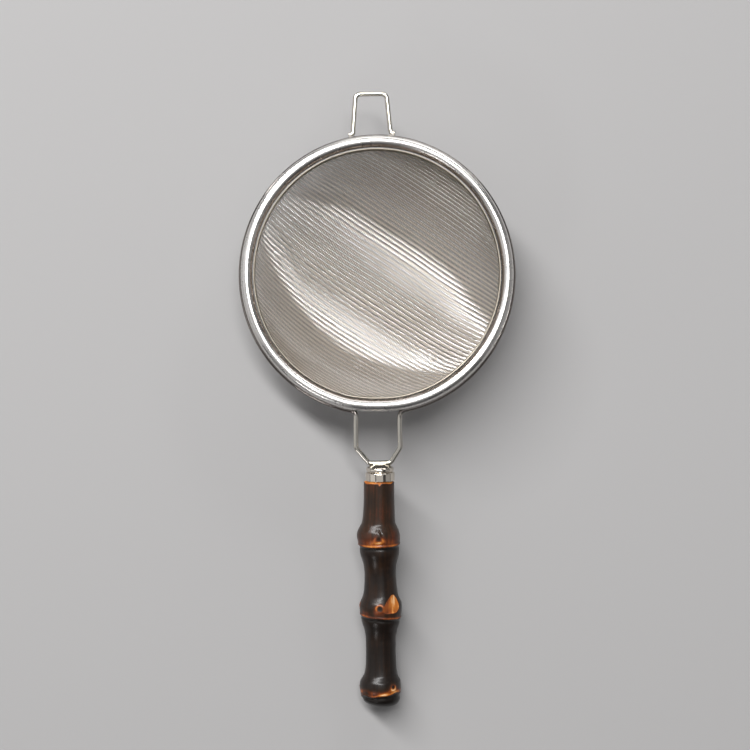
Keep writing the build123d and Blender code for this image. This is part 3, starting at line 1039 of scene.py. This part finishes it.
def bamboo():
    """Smoked, lacquered bamboo root: nearly black, red-brown where thin, golden where bare."""
    made, tree, shader = material("lacquered_bamboo")
    place = add_node(tree, "ShaderNodeTexCoord").outputs["Object"]
    cloud = noise(tree, place, 700.0, 6.0, Roughness=0.6)
    stretch = {"Vector": place, "Scale": (3000.0, 220.0, 3000.0)}
    grain_place = add_node(tree, "ShaderNodeMapping", stretch).outputs["Vector"]
    grain = noise(tree, grain_place, 1.0, 4.0)
    warm = add_node(tree, "ShaderNodeAttribute", attribute_name="warm").outputs["Fac"]
    mottled = add_scaled(tree, cloud, 0.14, -0.07)
    streaked = add_scaled(tree, grain, 0.16, mottled)
    level = add_sum(tree, add_sum(tree, warm, streaked), -0.08)
    tree.links.new(ramp(tree, level, BAMBOO_COLOURS), shader.inputs["Base Color"])
    polish = ramp(tree, level, ((0.2, grey(0.42)), (0.8, grey(0.55))))
    tree.links.new(polish, shader.inputs["Roughness"])
    relief = {"Height": streaked, "Strength": 0.12, "Distance": 0.0001}
    marks = add_node(tree, "ShaderNodeBump", relief)
    tree.links.new(marks.outputs["Normal"], shader.inputs["Normal"])
    shader.inputs["Specular IOR Level"].default_value = 0.12
    shader.inputs["Coat Weight"].default_value = 0.4
    shader.inputs["Coat Roughness"].default_value = 0.28
    return made


def resin():
    """Dark glue round the tang, a little cloudy."""
    made, tree, shader = material("tang_glue_resin")
    place = add_node(tree, "ShaderNodeTexCoord").outputs["Object"]
    cloud = noise(tree, place, 600.0, 4.0)
    shade = ramp(tree, cloud, ((0.3, (0.10, 0.06, 0.03)), (0.7, (0.2, 0.13, 0.07))))
    tree.links.new(shade, shader.inputs["Base Color"])
    polish = ramp(tree, cloud, ((0.3, grey(0.3)), (0.7, grey(0.5))))
    tree.links.new(polish, shader.inputs["Roughness"])
    return made


# ---------------------------------------------------------------- camera, light and floor

CAMERA_PLACE = (-0.952, -65.597, 561.244)
CAMERA_TILT = radians(4)
CAMERA_ROLL = radians(0.9)
CAMERA_LENS = 96.0
SENSOR_WIDTH = 36.0

# Lights and floor, in metres. The strip runs between two directions from the bowl.
STRIP_START = (0.185, 0.115, 0.976)
STRIP_END = (-0.585, 0.636, 0.504)
STRIP_DISTANCE = 1.3
STRIP_WIDTH = 0.18
STRIP_BRIGHTNESS = 30
# Each panel's name, tilt from the vertical, bearing (0 is +Y, 90 is +X), distance, size, brightness
PANELS = (
    ("overhead_panel", 5, 195, 1.5, (1.5, 1.4), 0.5),
    ("north_panel", 74, 10, 1.6, (1.4, 0.8), 2.0),
    ("left_panel", 62, -88, 1.4, (1.2, 1.2), 0.65),
    ("right_panel", 66, 92, 1.4, (1.2, 1.0), 0.28),
    ("north_east_lamp", 61, 34, 1.4, (0.4, 0.2), 6),
    ("south_west_lamp", 58, -146, 1.4, (0.35, 0.2), 8),
)
WORLD_COLOUR = (1.0, 0.97, 1.02, 1)
WORLD_STRENGTH = 0.07
FLOOR_HALF = 4.0
FLOOR_COLOUR = (0.29, 0.285, 0.284, 1)
FLOOR_ROUGHNESS = 0.85


def make_camera():
    data = bpy.data.cameras.new("photo_view")
    data.lens = CAMERA_LENS
    data.sensor_width = SENSOR_WIDTH
    made = bpy.data.objects.new("photo_view", data)
    bpy.context.scene.collection.objects.link(made)
    up = Vector((0, cos(CAMERA_TILT), sin(CAMERA_TILT)))
    right = Vector((1, 0, 0))
    image_right = right * cos(CAMERA_ROLL) - up * sin(CAMERA_ROLL)
    image_up = up * cos(CAMERA_ROLL) + right * sin(CAMERA_ROLL)
    back = image_right.cross(image_up)
    matrix = Matrix((image_right, image_up, back)).transposed().to_4x4()
    matrix.translation = Vector(CAMERA_PLACE) * MM
    made.matrix_world = matrix
    bpy.context.scene.camera = made


def light(name, size, brightness):
    """A rectangular light. brightness is its radiance, against 1 for white."""
    data = bpy.data.lights.new(name, "AREA")
    data.shape = "RECTANGLE"
    data.size, data.size_y = size
    data.energy = brightness * pi * size[0] * size[1]
    made = bpy.data.objects.new(name, data)
    bpy.context.scene.collection.objects.link(made)
    return made


def make_panel(name, tilt, bearing, distance, size, brightness):
    """A soft panel that faces the bowl, tilted from the vertical towards a bearing."""
    made = light(name, size, brightness)
    tilt, bearing = radians(tilt), radians(bearing)
    direction = Vector((sin(tilt) * sin(bearing), sin(tilt) * cos(bearing), cos(tilt)))
    made.location = direction * distance
    made.rotation_euler = direction.to_track_quat("Z", "Y").to_euler()


def make_strip(name):
    """The long narrow panel that lights the broad bright band in the bowl."""
    first = Vector(STRIP_START).normalized() * STRIP_DISTANCE
    last = Vector(STRIP_END).normalized() * STRIP_DISTANCE
    along = (last - first).normalized()
    middle = (first + last) / 2
    facing = (middle - along * middle.dot(along)).normalized()
    made = light(name, ((last - first).length, STRIP_WIDTH), STRIP_BRIGHTNESS)
    matrix = Matrix((along, facing.cross(along), facing)).transposed().to_4x4()
    matrix.translation = middle
    made.matrix_world = matrix


def make_world():
    world = bpy.data.worlds.new("studio")
    world.use_nodes = True
    background = world.node_tree.nodes["Background"]
    background.inputs["Color"].default_value = WORLD_COLOUR
    background.inputs["Strength"].default_value = WORLD_STRENGTH
    bpy.context.scene.world = world


def make_floor(height):
    size = FLOOR_HALF
    points = np.array(((-size, -size, 0), (size, -size, 0), (size, size, 0), (-size, size, 0))) / MM
    points = points + np.array((0, 0, height))
    made = mesh_object("floor", points, [np.array(((0, 1, 2, 3),))])
    pale, _, shader = material("pale_floor")
    shader.inputs["Base Color"].default_value = FLOOR_COLOUR
    shader.inputs["Roughness"].default_value = FLOOR_ROUGHNESS
    made.data.materials.append(pale)


bpy.context.scene.view_settings.view_transform = "Standard"
make_camera()
make_floor(cad_box[0][2] / MM)
make_strip("key_strip")
for panel in PANELS:
    make_panel(*panel)
make_world()

# ---------------------------------------------------------------- pieces

POLISHED = (0.72, 0.70, 0.675)
# Colour of the painted shade on the rim's inner side.
RIM_PAINTED_SHADE = (0.38, 0.32, 0.28)
LIP = (0.26, 0.235, 0.195)
DRAWN = (0.62, 0.59, 0.53)
# Colour of the painted shade on the hoop under the rim.
HOOP_PAINTED_SHADE = (0.24, 0.215, 0.20)
TIN = (0.4, 0.385, 0.37)
NICKEL = (0.72, 0.66, 0.58)
IRON = (0.5, 0.49, 0.48)

# Each steel's colour, roughness, how much rougher it gets in patches, noise scale and scratches, and for
# some the colour of painted shade
rim_steel = steel("rim_polished_steel", POLISHED, 0.25, 0.05, 250, 0.06, RIM_PAINTED_SHADE)
lip_steel = steel("clamp_ring_steel", LIP, 0.4, 0.08, 300, 0.1)
wire_steel = steel("wire_drawn_steel", DRAWN, 0.09, 0.05, 300, 0.06, HOOP_PAINTED_SHADE)
mesh_steel = woven_steel()
solder_tin = steel("solder_tin", TIN, 0.4, 0.15, 500, 0.5)
nickel = steel("ferrule_nickel", NICKEL, 0.06, 0.05, 250, 0.06)
tang_iron = steel("tang_plain_steel", IRON, 0.35, 0.1, 300, 0.2)
glue_resin = resin()
bamboo_lacquer = bamboo()


def finish(piece, made_material, slot_name, *nodes):
    piece.data.materials.append(made_material)
    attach(piece, "root")
    if nodes:
        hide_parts(*nodes)


mesh_pieces = split_pieces("mesh_fine_wires", fine_wires(), FINE_PIECES)
mesh_pieces += split_pieces("mesh_ribs", ribs(), RIB_PIECES)
for wires in mesh_pieces:
    finish(wires, mesh_steel, "mesh_steel", "mesh_bowl")
finish(make_rim(), rim_steel, "rim_steel", "rim_band")
finish(make_clamp(), lip_steel, "rim_steel", "clamp_ring")
finish(make_frame_wire(), wire_steel, "wire_steel", "frame_wire")
finish(make_hook(), wire_steel, "wire_steel", "hook_wire")
finish(make_rim_solder(), solder_tin, "solder", "rim_solder")
finish(make_hook_welds(), solder_tin, "solder", "hook_welds")
finish(make_cap(), nickel, "ferrule_nickel", "ferrule_cap")
finish(make_tube(), nickel, "ferrule_nickel", "ferrule_tube")
finish(make_handle(), bamboo_lacquer, "bamboo", "handle")

for node_name, made_material in (("tang_rod", tang_iron), ("tang_glue", glue_resin)):
    cad_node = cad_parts[node_name]
    cad_node.data.materials.clear()
    cad_node.data.materials.append(made_material)
